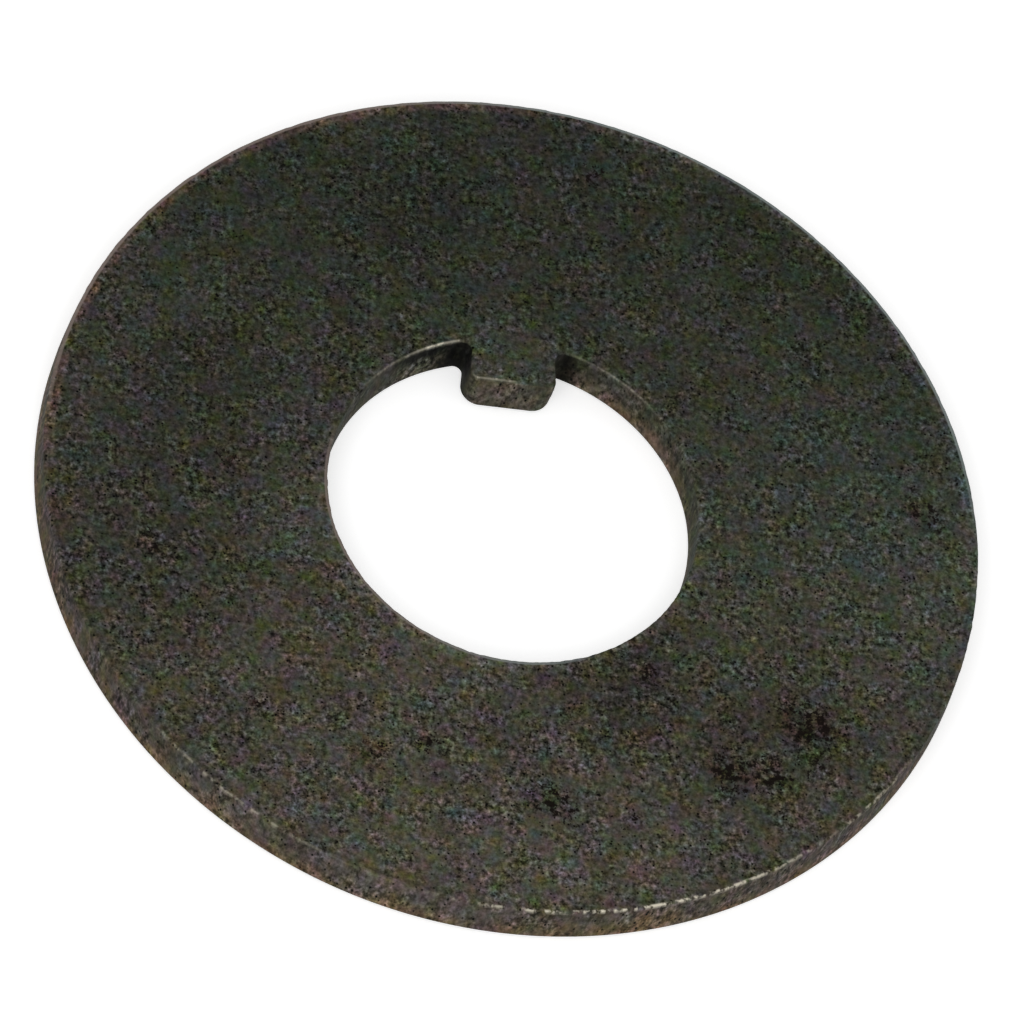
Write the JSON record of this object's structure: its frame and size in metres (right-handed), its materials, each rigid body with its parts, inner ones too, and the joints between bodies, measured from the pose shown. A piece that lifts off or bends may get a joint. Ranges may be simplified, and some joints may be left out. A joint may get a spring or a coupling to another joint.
{
  "type": "tab washer",
  "caption": "Flat round steel thrust washer with a square tab standing into its bore, to key it to a slotted spindle.",
  "frame": {"origin": "on the washer's axis, in the plane of its lower face, which is also the middle of the bottom of its box", "axes": "+Z along the washer's axis, from the lower face to the upper face; +Y from the axis through the middle of the tab; +X to the tab's right seen from above"},
  "size_m": [0.0492, 0.0492, 0.0025],
  "materials": {
    "steel": "matte"
  },
  "bodies": {
    "root": {"washer": "steel"}
  },
  "joints": []
}
